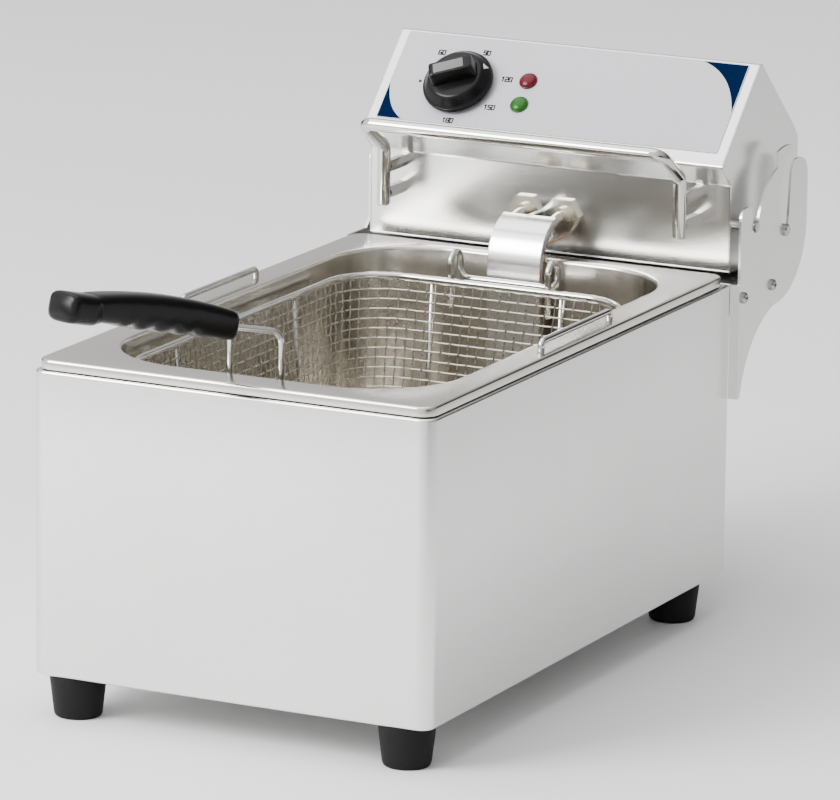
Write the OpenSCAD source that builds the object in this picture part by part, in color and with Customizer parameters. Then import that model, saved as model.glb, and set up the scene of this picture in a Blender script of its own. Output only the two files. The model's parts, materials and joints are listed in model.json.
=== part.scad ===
/* [Casing] */
// Width of the casing
casing_w = 265; // [262:0.5:268]
// Height of the casing above the floor
casing_top = 213; // [211:0.5:214]
// Height of the rubber feet
foot_h = 26.5; // [22:0.5:28]
// Sheet thickness of the casing
sheet = 1; // [0.8:0.1:1.2]
// Outside radius of the upright front corners
corner_r = 9; // [7:0.5:11]

/* [Oil tank] */
// Height of the tank flange top above the floor
flange_z = 219.5; // [219:0.1:220]
// Depth of the oil tank
tank_depth = 149; // [145:1:151]
// Radius of the tank's upright corners
tank_r = 58; // [54:1:60]

/* [Basket] */
// Height of the basket's rim wire centre above the floor
rim_z = 209; // [208:0.5:210]
// Diameter of the rim wire
rim_wire = 4.5; // [4:0.1:4.8]
// Height of the basket's mesh wall
basket_h = 95; // [88:1:96]

/* [Basket handle] */
// Sideways swing of the basket handle
handle_yaw = 17; // [14:1:18]
// Upward slope of the basket handle
handle_rise = 13.4; // [12:0.1:15]
// Length of the moulded grip
grip_len = 140; // [130:1:142]

/* [Control head] */
// Width of the control head
head_w = 253.4; // [252:0.2:254]
// Diameter of the thermostat knob skirt
knob_d = 47; // [44:0.5:48]
// Diameter of the indicator lamps
lamp_d = 12; // [11:0.5:12.5]
// Diameter of the lifting bar across the head
bar_d = 8.5; // [7.5:0.1:9]
// Diameter of the heating element tube
element_d = 7; // [6.5:0.1:7.2]

/* [Hidden] */
$fn = 48;

w2 = casing_w / 2;
d2 = 210;                       // half depth of the casing
casing_h = casing_top - foot_h;
lip_z = 213.8;                  // underside of the tank flange's lip
tank_x = 109.5;                 // half width of the tank opening
tank_y0 = -183;                 // front of the tank opening
tank_y1 = 195;                  // back of the tank opening
foot_x = 110;
foot_y0 = -192;
foot_y1 = 182;

// control head profile, as y and z, counter-clockwise seen from +X
head_prof = [[221.5, 217], [326, 217], [326, 288], [319, 296], [265.5, 345], [207.5, 287], [221.5, 273.5]];
ridge_y = 265.5;
ridge_z = 345;
cheek_x = head_w / 2 - 1;       // inner face of each cheek

pin_y = 280;                    // rear pivot pins at rest
pin_z = 236;
hold_y = 233.5;                 // front holding pins at rest
hold_z = 246.5;
plate_x = 137.4;                // inner face of each side bracket
plate_t = 1.6;

c45 = sqrt(0.5);
knob_x = -70.8;
knob_v = 40.8;
lamp_x = -25;
red_v = 32.7;
green_v = 51.2;
bar_x = 103.5;
leg_x = 13.6;                   // element legs either side of the element's own centre line
el_x = -2;                      // the element's centre line
leg_z = 243;                  // height of the element legs where they leave the head
el_z = 90;                      // level of the element's flat loops
el_r = element_d / 2;

function unit(v) = v / norm(v);
function inset(p, t) = let (n = len(p)) [for (i = [0 : n - 1])
  let (a = p[(i + n - 1) % n], b = p[i], c = p[(i + 1) % n],
       d1 = unit(b - a), d2n = unit(c - b),
       n1 = [-d1[1], d1[0]], n2 = [-d2n[1], d2n[0]])
  b + t * (n1 + n2) / (1 + n1 * n2)];
function arc(c, r, a0, a1, n) = [for (i = [0 : n]) c + r * [cos(a0 + (a1 - a0) * i / n), sin(a0 + (a1 - a0) * i / n)]];

// rounded rectangle between two corners
module rr(x0, x1, y0, y1, r) {
  translate([x0 + r, y0]) square([x1 - x0 - 2 * r, y1 - y0]);
  translate([x0, y0 + r]) square([x1 - x0, y1 - y0 - 2 * r]);
  for (x = [x0 + r, x1 - r], y = [y0 + r, y1 - r]) translate([x, y]) circle(r);
}
// casing outline, rounded at the front, inset by i
module casing2d(i) {
  translate([-w2 + i, -d2 + corner_r]) square([casing_w - 2 * i, 2 * d2 - corner_r - i]);
  translate([-w2 + corner_r, -d2 + i]) square([casing_w - 2 * corner_r, corner_r]);
  for (s = [-1, 1]) translate([s * (w2 - corner_r), -d2 + corner_r]) circle(corner_r - i);
}
// extrude a y,z outline along x from x0 to x1
module along_x(x0, x1) { translate([x0, 0, 0]) rotate([90, 0, 90]) linear_extrude(x1 - x0) children(); }
// a place on the sloped panel: x across, v down the slope from the ridge, local z outward
module on_panel(x, v) { translate([x, ridge_y - v * c45, ridge_z - v * c45]) rotate([45, 0, 0]) children(); }
// round rod between two points
module rod(a, b, r) {
  v = b - a; l = norm(v);
  translate(a) rotate([0, acos(v[2] / l), atan2(v[1], v[0])]) cylinder(h = l, r = r);
}
// rod through a list of points, each length run on a little past its corner
module wire(p, r) {
  for (i = [0 : len(p) - 2]) let (d = unit(p[i + 1] - p[i]))
    rod(p[i], p[i + 1] + (i < len(p) - 2 ? d * r * 0.4 : [0, 0, 0]), r);
}
// pan-head screw, head outward along +z from the origin, shank along -z
module screw(hd, hh, sd, sl) {
  difference() {
    union() { cylinder(h = hh * 0.55, d = hd); translate([0, 0, hh * 0.55]) cylinder(h = hh * 0.45, d1 = hd, d2 = hd * 0.62); }
    translate([0, 0, hh * 0.6]) { cube([hd * 0.6, hd * 0.13, hh], center = true); cube([hd * 0.13, hd * 0.6, hh], center = true); }
  }
  translate([0, 0, -sl]) cylinder(h = sl, d = sd);
}

module outer_casing() color("silver") difference() {
  union() {
    translate([0, 0, foot_h]) linear_extrude(casing_h) difference() {
      casing2d(0);
      casing2d(sheet);
      translate([-w2 + 15, 100]) square([casing_w - 30, 200]);
    }
    // folded top and bottom edges
    for (z = [foot_h, casing_top - sheet]) translate([0, 0, z]) linear_extrude(sheet) difference() {
      casing2d(sheet * 0.5);
      translate([-w2 + 15, -d2 + 15]) square([casing_w - 30, 500]);
    }
  }
  for (x = [-w2 + 9, w2 - 9], z = [60, 175]) translate([x, d2 - 5, z]) rotate([-90, 0, 0]) cylinder(h = 10, r = 1.8);
}
module rear_panel() color("silver") difference() {
  union() {
    translate([-w2 + 2, d2 - 2 * sheet, foot_h + sheet + 1.5]) cube([casing_w - 4, sheet, casing_h - 2 * sheet - 2]);
    translate([-w2 + 16, d2 - 12, casing_top - sheet - 0.5]) cube([casing_w - 32, 10.5, sheet]);
  }
  for (x = [-w2 + 9, w2 - 9], z = [60, 175]) translate([x, d2 - 5, z]) rotate([-90, 0, 0]) cylinder(h = 10, r = 1.8);
  for (x = [-60 : 15 : 60]) translate([x - 2, d2 - 5, 60]) cube([4, 10, 34]);
}
module rear_panel_screws() color("gainsboro")
  for (x = [-w2 + 9, w2 - 9], z = [60, 175]) translate([x, d2, z]) rotate([-90, 0, 0]) screw(6.5, 2.2, 3.2, 6);
module base_plate() color("silver") difference() {
  translate([0, 0, foot_h + sheet]) linear_extrude(1.4) rr(-w2 + 1.5, w2 - 1.5, -d2 + 1.5, d2 - 2.5, 8);
  for (x = [-foot_x, foot_x], y = [foot_y0, foot_y1]) translate([x, y, 0]) cylinder(h = 100, r = 2.2);
  for (x = [-75 : 15 : 75], y = [-90, 60]) translate([x - 2, y, 0]) cube([4, 40, 100]);
}
module rubber_feet() color([0.08, 0.08, 0.08]) for (x = [-foot_x, foot_x], y = [foot_y0, foot_y1]) translate([x, y, 0])
  rotate_extrude() polygon([[6.5, 0], [13, 0], [14.2, 0.8], [14.6, 2], [17.5, foot_h], [2.15, foot_h], [2.15, 13], [6.5, 13]]);
module foot_screws() color("gainsboro") for (x = [-foot_x, foot_x], y = [foot_y0, foot_y1]) translate([x, y, 0]) {
  translate([0, 0, 9.6]) cylinder(h = 3.4, d = 9);
  translate([0, 0, 13]) cylinder(h = foot_h + 6.4 - 13, d = 4);
  translate([0, 0, foot_h + 2.5]) difference() { cylinder(h = 3.2, d = 8.1, $fn = 6); translate([0, 0, -1]) cylinder(h = 6, d = 4); }
}

// side bracket outline in y and z: front post, front notch, round cam edge, holding notch, rear slot, rear post
cam_r = 44.4;                    // edge the holding pins pass over, about the rear pins
bracket_pts = concat(
  [[211, 139.5], [213.5, 140]],
  arc([279.2, 124.7], 67, 163, 101, 14),
  arc([267.5, 237.5], 47, -90, 0, 16),
  arc([301.5, 266.3], 13, 0, 90, 8),
  arc([297, 270.8], 8.5, 90, 172, 6),
  [[285.6, 243.5], [284.2, 237]],
  arc([pin_y, pin_z], 3.6, 8, -172, 10),
  [[274.6, 241], [272.4, 247], [271.4, 254], [271.2, 262], [272.2, 269.5], [275, 277], [280, 283.5], [286, 287.6]],
  arc([280, 246], 44.6, 80, 107.5, 6),
  [[266.4, 278.6]],
  arc([pin_y, pin_z], cam_r, 107.6, 160, 16),
  [[238.2, 246.6]],
  arc([233.6, 246.5], 4.1, 0, -180, 10),
  [[229, 252.5]],
  arc([221.5, 253.6], 7.4, 0, 90, 6),
  arc([218.5, 253.6], 7.5, 90, 180, 6));
module bracket_plate() along_x(plate_x, plate_x + plate_t) difference() {
  polygon(bracket_pts);
  for (y = [216.5, 260.8]) translate([y, 204]) circle(2.1);
  translate([pin_y, pin_z]) circle(3.95);
}
module side_bracket() {
  bracket_plate();
  // front return flange against the casing's rear edge
  translate([w2 + 0.2, 210, 139.5]) cube([plate_x + plate_t - w2 - 0.2, 1.4, 73.4]);
}
module side_bracket_right() color("silver") side_bracket();
module side_bracket_left() color("silver") mirror([1, 0, 0]) difference() {
  side_bracket();
  along_x(plate_x - 1, plate_x + 3) polygon([[200, 216], [238, 216], [243.5, 221.5], [243.5, 262], [236, 275], [200, 275]]);
}
module bracket_screws() color("gainsboro") for (m = [0, 1], y = [216.5, 260.8]) mirror([m, 0, 0])
  translate([plate_x + plate_t, y, 204]) rotate([0, 90, 0]) screw(7.2, 2.6, 4, 9);
module rear_crossmember() color("silver") difference() {
  union() {
    translate([-plate_x + 0.2, 211.5, 192]) cube([2 * plate_x - 0.4, 1.4, 21]);
    translate([-plate_x + 0.2, 211.5, 211.6]) cube([2 * plate_x - 0.4, 56.7, 1.4]);
    for (s = [-1, 1]) translate([s * (plate_x - 0.8) - 0.7, 211.5, 192]) cube([1.4, 56.7, 21]);
  }
  for (s = [-1, 1], y = [216.5, 260.8]) translate([s * (plate_x - 4), y, 204]) rotate([0, s * 90, 0]) cylinder(h = 8, r = 2.1);
}

module tank_plan(g) rr(-tank_x - g, tank_x + g, tank_y0 - g, tank_y1 + g, tank_r + g);
tank_zb = flange_z - tank_depth;
tank_f = 20;
// section of wall, rounded bottom edge and floor, measured from a corner's centre
module tank_section() polygon(concat(
  [[0, tank_zb - 1]], arc([tank_r - tank_f, tank_zb + tank_f], tank_f + 1, -90, 0, 6),
  [[tank_r + 1, flange_z - 0.4], [tank_r, flange_z - 0.4]],
  arc([tank_r - tank_f, tank_zb + tank_f], tank_f, 0, -90, 6), [[0, tank_zb]]));
module oil_tank() color([0.72, 0.71, 0.68]) {
  xc = tank_x - tank_r; y0 = tank_y0 + tank_r; y1 = tank_y1 - tank_r;
  translate([xc, y1, 0]) rotate_extrude(angle = 90) tank_section();
  translate([-xc, y1, 0]) rotate([0, 0, 90]) rotate_extrude(angle = 90) tank_section();
  translate([-xc, y0, 0]) rotate([0, 0, 180]) rotate_extrude(angle = 90) tank_section();
  translate([xc, y0, 0]) rotate([0, 0, 270]) rotate_extrude(angle = 90) tank_section();
  translate([xc, y1, 0]) rotate([90, 0, 0]) linear_extrude(y1 - y0) tank_section();
  translate([-xc, y0, 0]) rotate([90, 0, 180]) linear_extrude(y1 - y0) tank_section();
  translate([-xc, y1, 0]) rotate([90, 0, 90]) linear_extrude(2 * xc) tank_section();
  translate([xc, y0, 0]) rotate([90, 0, -90]) linear_extrude(2 * xc) tank_section();
  translate([-xc, y0, tank_zb - 1]) cube([2 * xc, y1 - y0, 1]);
  // flange with its turned-down lip
  difference() {
    translate([0, 0, lip_z]) linear_extrude(flange_z - lip_z) rr(-130.5, 130.5, -208, 208, 10);
    translate([0, 0, lip_z - 1]) linear_extrude(flange_z - lip_z + 0.1) rr(-129.5, 129.5, -207, 207, 9);
    translate([0, 0, lip_z - 2]) linear_extrude(20) tank_plan(0.5);
  }
}
// quarter bends of wire in a y,z plane and an x,z plane, centred on c, starting at angle a
module elbow_yz(c, a, R, r) translate(c) rotate([90, 0, 90]) rotate([0, 0, a]) rotate_extrude(angle = 90) translate([R, 0]) circle(r);
module elbow_xz(c, a, R, r) translate(c) rotate([90, 0, 0]) rotate([0, 0, a]) rotate_extrude(angle = 90) translate([R, 0]) circle(r);
module tank_handle(s) {
  x = s * 121.5; r = 2.1;
  translate([x, -42, flange_z]) cylinder(h = 221.2 - flange_z, r = r);
  translate([x, 54, flange_z]) cylinder(h = 221.2 - flange_z, r = r);
  elbow_yz([x, -38, 221.2], 90, 4, r);
  elbow_yz([x, 50, 221.2], 0, 4, r);
  translate([x, -38, 225.2]) rotate([-90, 0, 0]) cylinder(h = 88, r = r);
}
module tank_handle_left() color("gainsboro") tank_handle(-1);
module tank_handle_right() color("gainsboro") tank_handle(1);

// basket
rim_x = 99;
rim_y0 = -172;
rim_y1 = 147;
rim_r = 38;
mesh_top = rim_z - rim_wire / 2;
mesh_bot = mesh_top - basket_h;
module basket_form(g, b) hull() {
  translate([0, 0, mesh_top - 0.4]) linear_extrude(0.4) rr(-rim_x + 1 - g, rim_x - 1 + g, rim_y0 + 1 - g, rim_y1 - 1 + g, rim_r - 1 + g, $fn = 32);
  translate([0, 0, mesh_bot + 10 + b]) linear_extrude(0.4) rr(-90 - g, 90 + g, -163 - g, 138 + g, 32 + g, $fn = 32);
  translate([0, 0, mesh_bot + 3 + b]) linear_extrude(0.4) rr(-87 - g, 87 + g, -160 - g, 135 + g, 30 + g, $fn = 32);
  translate([0, 0, mesh_bot + b]) linear_extrude(0.4) rr(-81 - g, 81 + g, -154 - g, 129 + g, 26 + g, $fn = 32);
}
module basket_mesh() color([0.75, 0.74, 0.7]) difference() {
  basket_form(0, 0);
  basket_form(-1.5, 1.5);
  translate([0, 0, mesh_top - 1]) linear_extrude(5) rr(-rim_x + 2.5, rim_x - 2.5, rim_y0 + 2.5, rim_y1 - 2.5, rim_r - 2.5, $fn = 32);
}
module rim_bend(x, y, a) translate([x, y, rim_z]) rotate([0, 0, a]) rotate_extrude(angle = 90) translate([rim_r, 0]) circle(rim_wire / 2);
module basket_rim() color("gainsboro") {
  r = rim_wire / 2;
  rod([-rim_x, rim_y0 + rim_r, rim_z], [-rim_x, rim_y1 - rim_r, rim_z], r);
  rod([rim_x, rim_y0 + rim_r, rim_z], [rim_x, rim_y1 - rim_r, rim_z], r);
  rod([-rim_x + rim_r, rim_y0, rim_z], [rim_x - rim_r, rim_y0, rim_z], r);
  rod([-rim_x + rim_r, rim_y1, rim_z], [rim_x - rim_r, rim_y1, rim_z], r);
  rim_bend(rim_x - rim_r, rim_y1 - rim_r, 0);
  rim_bend(-rim_x + rim_r, rim_y1 - rim_r, 90);
  rim_bend(-rim_x + rim_r, rim_y0 + rim_r, 180);
  rim_bend(rim_x - rim_r, rim_y0 + rim_r, 270);
}
module basket_frame_wires() color("gainsboro") {
  zb = mesh_bot - 1.9;
  for (x = [-45, 45]) wire([[x, rim_y0 - 1.3, mesh_top - 1], [x, -166, mesh_bot + 10], [x, -156, zb], [x, 131, zb], [x, 141, mesh_bot + 10], [x, rim_y1 + 1.3, mesh_top - 1]], 1.7);
  for (y = [-90, 65]) wire([[-rim_x - 1.3, y, mesh_top - 1], [-93, y, mesh_bot + 10], [-83, y, zb - 1.2], [83, y, zb - 1.2], [93, y, mesh_bot + 10], [rim_x + 1.3, y, mesh_top - 1]], 1.7);
}
module basket_rear_hooks() color("gainsboro") {
  yf = rim_y1 + 4.4; yr = yf + 14; r = 2.1;
  for (m = [0, 1]) mirror([m, 0, 0]) {
    translate([34, yf, 192]) cylinder(h = 27, r = r);
    elbow_yz([34, yf + 7, 219], 90, 7, r);
    elbow_yz([34, yf + 7, 219], 0, 7, r);
    translate([34, yr, 214]) cylinder(h = 5, r = r);
    elbow_xz([28, yr, 214], -90, 6, r);
  }
  translate([-28, yr, 208]) rotate([0, 90, 0]) cylinder(h = 56, r = r);
}
// basket handle: local x runs along the grip from the basket outward, z up, square to it
hp = [0, rim_y0 - 4.4, 246];
module in_handle() translate(hp) rotate([0, 0, -90 - handle_yaw]) rotate([0, -handle_rise, 0]) children();
function handle_pt(u, v, w) = hp + [
  -sin(handle_yaw) * (u * cos(handle_rise) - w * sin(handle_rise)) + cos(handle_yaw) * v,
  -cos(handle_yaw) * (u * cos(handle_rise) - w * sin(handle_rise)) - sin(handle_yaw) * v,
  u * sin(handle_rise) + w * cos(handle_rise)];
module handle_wires(r) for (s = [-1, 1])
  wire([[s * 17, hp[1], 150], [s * 17, hp[1], 246], handle_pt(24, s * 6, 0), handle_pt(60, s * 6, 0)], r);
module basket_handle_wires() color("gainsboro") handle_wires(2);
module basket_grip() color([0.07, 0.07, 0.07]) difference() {
  union() {
    in_handle() hull() {
      translate([22, -9, -9]) cube([2, 18, 19]);
      translate([80, -10.5, -8.5]) cube([2, 21, 22]);
    }
    in_handle() hull() {
      translate([80, -10.5, -8.5]) cube([2, 21, 22]);
      translate([22 + grip_len - 26, -11, -7]) cube([2, 22, 18]);
    }
    in_handle() hull() {
      translate([22 + grip_len - 24, -12, -9]) cube([14, 24, 18]);
      translate([22 + grip_len - 6, -12, -7]) cube([6, 24, 14]);
    }
  }
  handle_wires(2.05);
}

// control head
module head_shell() color("silver") difference() {
  along_x(-cheek_x + 0.1, cheek_x - 0.1) difference() {
    polygon(head_prof);
    polygon(inset(head_prof, 1));
    translate([223, 210]) square([101, 12]);
  }
  on_panel(knob_x, knob_v) translate([0, 0, -5]) cylinder(h = 10, r = 5.2);
  on_panel(lamp_x, red_v) translate([0, 0, -5]) cylinder(h = 10, r = 4.6);
  on_panel(lamp_x, green_v) translate([0, 0, -5]) cylinder(h = 10, r = 4.6);
  for (x = [-leg_x, leg_x]) translate([el_x + x, 215, leg_z]) rotate([-90, 0, 0]) cylinder(h = 12, r = 5.1);
  for (x = [-8, 8]) translate([el_x + x, 215, 226]) rotate([-90, 0, 0]) cylinder(h = 12, r = 1.8);
  for (x = [-bar_x, bar_x], z = [250, 267]) translate([x, 215, z]) rotate([-90, 0, 0]) cylinder(h = 12, r = 2.1);
  translate([-70, 320, 245]) rotate([-90, 0, 0]) cylinder(h = 12, r = 8.1);
  translate([60, 320, 250]) rotate([-90, 0, 0]) cylinder(h = 12, r = 5.2);
  for (x = [-24 : 12 : 36]) translate([x - 1.5, 320, 235]) cube([3, 12, 30]);
}
module head_cheek(s) color("silver") difference() {
  along_x(min(s * cheek_x, s * (cheek_x + 1)), max(s * cheek_x, s * (cheek_x + 1))) polygon(head_prof);
  translate([s * 110, pin_y, pin_z]) rotate([0, s * 90, 0]) cylinder(h = 30, r = 3.95);
  if (s > 0) translate([110, hold_y, hold_z]) rotate([0, 90, 0]) cylinder(h = 30, r = 2.9);
}
module head_cheek_left() head_cheek(-1);
module head_cheek_right() head_cheek(1);
module head_base_plate() color("silver") difference() {
  translate([-cheek_x + 0.2, 223.1, 217]) cube([2 * cheek_x - 0.4, 100.8, 1.2]);
  for (x = [-100, 100], y = [240, 305]) translate([x, y, 210]) cylinder(h = 20, r = 1.8);
}
module head_screws() color("gainsboro") {
  for (x = [-100, 100], y = [240, 305]) translate([x, y, 217]) rotate([180, 0, 0]) screw(6.5, 2.2, 3.4, 8);
}
module control_faceplate() color([0.86, 0.86, 0.88]) difference() {
  on_panel(0, 0) translate([-120, -71.5, 0]) cube([239.5, 68.5, 0.5]);
  on_panel(knob_x, knob_v) translate([0, 0, -5]) cylinder(h = 10, r = 5.2);
  on_panel(lamp_x, red_v) translate([0, 0, -5]) cylinder(h = 10, r = 4.6);
  on_panel(lamp_x, green_v) translate([0, 0, -5]) cylinder(h = 10, r = 4.6);
}
module lens() {
  translate([0, 0, 0.5]) cylinder(h = 1.2, d = lamp_d);
  translate([0, 0, 1.7]) rotate_extrude() polygon(concat([[0, 0]], [for (a = [0 : 10 : 90]) [lamp_d * 0.46 * cos(a), 2.3 * sin(a)]]));
}
module red_lamp() color("crimson") on_panel(lamp_x, red_v) lens();
module green_lamp() color("limegreen") on_panel(lamp_x, green_v) lens();
module lamp_bodies() color([0.9, 0.9, 0.85]) for (v = [red_v, green_v]) on_panel(lamp_x, v) {
  translate([0, 0, -18]) cylinder(h = 18.5, r = 4.5);
  translate([0, 0, -23]) for (x = [-2, 2]) translate([x - 0.4, -1.5, 0]) cube([0.8, 3, 5.5]);
  translate([0, 0, -3.6]) difference() { cylinder(h = 2.5, r = 7.4, $fn = 6); translate([0, 0, -1]) cylinder(h = 5, r = 4.5); }
}
module thermostat() color([0.35, 0.35, 0.36]) on_panel(knob_x, knob_v) difference() {
  union() {
    translate([-24, -17, -24]) cube([48, 34, 19]);
    translate([-20, -8, -5]) cube([40, 16, 3.9]);
    translate([0, 0, -1.1]) cylinder(h = 5, r = 4.9);
    for (x = [-15, -5, 5, 15]) translate([x - 3, -1, -30]) cube([6, 1, 6.5]);
  }
  translate([0, 0, -12]) cylinder(h = 30, r = 3.05);
}
module thermostat_nut() color("gainsboro") on_panel(knob_x, knob_v) translate([0, 0, 0.5]) difference() {
  cylinder(h = 2.4, r = 7.5, $fn = 6);
  translate([0, 0, -1]) cylinder(h = 5, r = 4.95);
}
module safety_cutout() color([0.85, 0.82, 0.75]) difference() {
  union() {
    translate([60, 303.5, 250]) rotate([-90, 0, 0]) cylinder(h = 18, r = 15);
    translate([60, 321.4, 250]) rotate([-90, 0, 0]) cylinder(h = 3.4, r = 7);
    translate([60, 324.6, 250]) rotate([-90, 0, 0]) cylinder(h = 3.9, r = 5.1);
    for (x = [52, 68]) translate([x - 3, 297.5, 249.5]) cube([6, 6.2, 1]);
  }
  translate([60, 312, 250]) rotate([-90, 0, 0]) cylinder(h = 30, r = 3.2);
}
module reset_button() color([0.7, 0.1, 0.1]) translate([60, 316, 250]) rotate([-90, 0, 0]) cylinder(h = 14.4, r = 3.12);
module terminal_block() color([0.92, 0.9, 0.84]) difference() {
  translate([-96, 286, 218.4]) cube([40, 22, 17]);
  for (x = [-91 : 10 : -61]) translate([x, 297, 224]) cylinder(h = 20, r = 2.6);
  for (x = [-91 : 10 : -61]) translate([x, 280, 228]) rotate([-90, 0, 0]) cylinder(h = 40, r = 2);
}
module contactor() color([0.2, 0.2, 0.21]) difference() {
  union() {
    translate([-6, 262, 218.4]) cube([45, 44, 42]);
    translate([-2, 268, 260.4]) cube([37, 32, 12]);
  }
  for (x = [3 : 9 : 30], y = [266, 298]) translate([x, y - 2, 254]) cube([4, 4.5, 20]);
}
module head_wiring() color([0.45, 0.3, 0.15]) let ($fn = 8) {
  wire([[-86, 297, 236.5], [-86, 297, 262], [-78, 292, 285], [-75, 285, 288]], 1.4);
  wire([[-76, 297, 236.5], [-76, 300, 262], [-40, 296, 276], [7, 296, 278], [7, 296, 274.3]], 1.4);
  wire([[-66, 297, 236.5], [-66, 296, 250], [-30, 288, 268], [-14, 270, 270], [-12, 252, 260], [-15.6, 247, 248]], 1.4);
  wire([[52, 296.8, 250], [50, 290, 252], [47, 285, 276], [30, 284, 278], [28, 284, 273.8]], 1.4);
  wire([[68, 296.8, 250], [68, 288, 252], [50, 262, 262], [24, 254, 260], [11.6, 247, 248]], 1.4);
}
module cord_bushing() color([0.09, 0.09, 0.09]) translate([-70, 0, 245]) rotate([-90, 0, 0]) difference() {
  union() {
    translate([0, 0, 318]) cylinder(h = 9, r = 8);
    translate([0, 0, 326]) cylinder(h = 2.4, r = 12);
    translate([0, 0, 328.4]) cylinder(h = 2.1, r1 = 12, r2 = 10);
  }
  translate([0, 0, 300]) cylinder(h = 60, r = 4);
}
module bushing_nut() color([0.09, 0.09, 0.09]) translate([-70, 0, 245]) rotate([-90, 0, 0]) difference() {
  translate([0, 0, 320]) cylinder(h = 4.9, r = 11.5, $fn = 6);
  translate([0, 0, 300]) cylinder(h = 60, r = 8);
}
module lifting_bar() color("gainsboro") {
  r = bar_d / 2;
  wire([[-bar_x, 194.5, 243.5], [-bar_x, 194.5, 281], [-bar_x + 1, 167, 298.6], [-bar_x + 7, 164.6, 300.5], [bar_x - 7, 164.6, 300.5], [bar_x - 1, 167, 298.6], [bar_x, 194.5, 281], [bar_x, 194.5, 243.5]], r);
}
module bar_standoffs() color("gainsboro") for (x = [-bar_x, bar_x], z = [250, 267]) {
  translate([x, 194.5 + bar_d / 2 - 0.3, z]) rotate([-90, 0, 0]) cylinder(h = 221.5 - 194.5 - bar_d / 2 + 0.3, r = 4.2, $fn = 6);
  translate([x, 221.4, z]) rotate([-90, 0, 0]) cylinder(h = 6, r = 2);
}
module pivot_pins() color("gainsboro") for (s = [-1, 1]) {
  translate([s * 122.4, pin_y, pin_z]) rotate([0, s * 90, 0]) cylinder(h = 140.6 - 122.4, r = 3.9);
  translate([s * 121, pin_y, pin_z]) rotate([0, s * 90, 0]) cylinder(h = 4.6, r = 7);
  translate([s * 140.6, pin_y, pin_z]) rotate([0, s * 90, 0]) cylinder(h = 0.9, r1 = 3.9, r2 = 3);
}
module holding_pin() color("gainsboro") translate([0, hold_y, hold_z]) rotate([0, 90, 0]) {
  translate([0, 0, 123.4]) cylinder(h = 140.4 - 123.4, r = 2.85);
  translate([0, 0, 122.2]) cylinder(h = 3.4, r = 5.6, $fn = 6);
}
// heating element and its hood
hood_z = 246.5;
module element_hood() color("silver") translate([el_x, 0, 0]) {
  along_x(-18.3, 18.3) {
    difference() {
      translate([206, hood_z - 30]) circle(30);
      translate([206, hood_z - 30]) circle(29);
      translate([199, hood_z - 70]) square([60, 80]);
      translate([150, hood_z - 70]) square([80, 40]);
    }
    translate([176, 122]) square([1, hood_z - 30 - 122]);
  }
  // tongue back to the head between the nuts
  along_x(-1.7, 1.7) translate([197.5, hood_z - 1.8]) square([23.9, 1]);
}
module heating_element() color([0.6, 0.58, 0.55]) translate([el_x, 0, 0]) for (m = [0, 1]) mirror([m, 0, 0]) {
  rod([leg_x, 243, leg_z], [leg_x, 214, leg_z], el_r);
  elbow_yz([leg_x, 214, leg_z - 32], 90, 32, el_r);
  rod([leg_x, 182, leg_z - 32], [leg_x, 182, el_z + 18], el_r);
  // out along the back of the tank, then forward and back in a loop
  elbow_xz([leg_x + 18, 182, el_z + 18], 180, 18, el_r);
  rod([leg_x + 18, 182, el_z], [57, 182, el_z], el_r);
  translate([57, 164, el_z]) rotate_extrude(angle = 90) translate([18, 0]) circle(el_r);
  rod([75, 164, el_z], [75, -110, el_z], el_r);
  translate([50, -110, el_z]) rotate([0, 0, 180]) rotate_extrude(angle = 180) translate([25, 0]) circle(el_r);
  rod([25, -110, el_z], [25, 110, el_z], el_r);
  translate([0, 110, el_z]) rotate_extrude(angle = 90) translate([25, 0]) circle(el_r);
}
module element_nuts() color([0.72, 0.68, 0.58]) for (x = [-leg_x, leg_x]) translate([el_x + x, 0, leg_z]) rotate([-90, 0, 0]) difference() {
  union() {
    translate([0, 0, 218]) cylinder(h = 3.5, r = 11.4, $fn = 6);
    translate([0, 0, 214.2]) cylinder(h = 4, r = 5.8);
    translate([0, 0, 221.4]) cylinder(h = 7, r = 5);
    translate([0, 0, 222.6]) cylinder(h = 4, r = 9, $fn = 6);
  }
  translate([0, 0, 200]) cylinder(h = 60, r = el_r + 0.05);
}
module element_clip() color("silver") translate([el_x, 0, 0]) difference() {
  translate([-31, 20, el_z + el_r + 0.1]) cube([62, 12, 1]);
  for (x = [-9, 9]) translate([x, 26, 80]) cylinder(h = 30, r = 1.6);
}
module thermostat_bulbs() color([0.75, 0.55, 0.35]) translate([el_x, 0, 0]) for (x = [-9, 9]) {
  rod([x, -20, el_z], [x, 80, el_z], 3);
  translate([x, -20, el_z]) sphere(3);
}
module capillary_tubes() color([0.75, 0.55, 0.35]) for (s = [-1, 1]) translate([el_x + s * 8, 0, 0]) {
  r = 1; z1 = el_z + 10;
  rod([0, 80.2, el_z], [0, 105, el_z], r);
  elbow_yz([0, 105, el_z + 5], -90, 5, r);
  elbow_yz([0, 115, el_z + 5], 90, 5, r);
  rod([0, 115, z1], [0, 178, z1], r);
  elbow_yz([0, 178, z1 + 8], -90, 8, r);
  rod([0, 186, z1 + 8], [0, 186, 217], r);
  elbow_yz([0, 195, 217], 90, 9, r);
  rod([0, 195, 226], [0, 232, 226], r);
}

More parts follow.
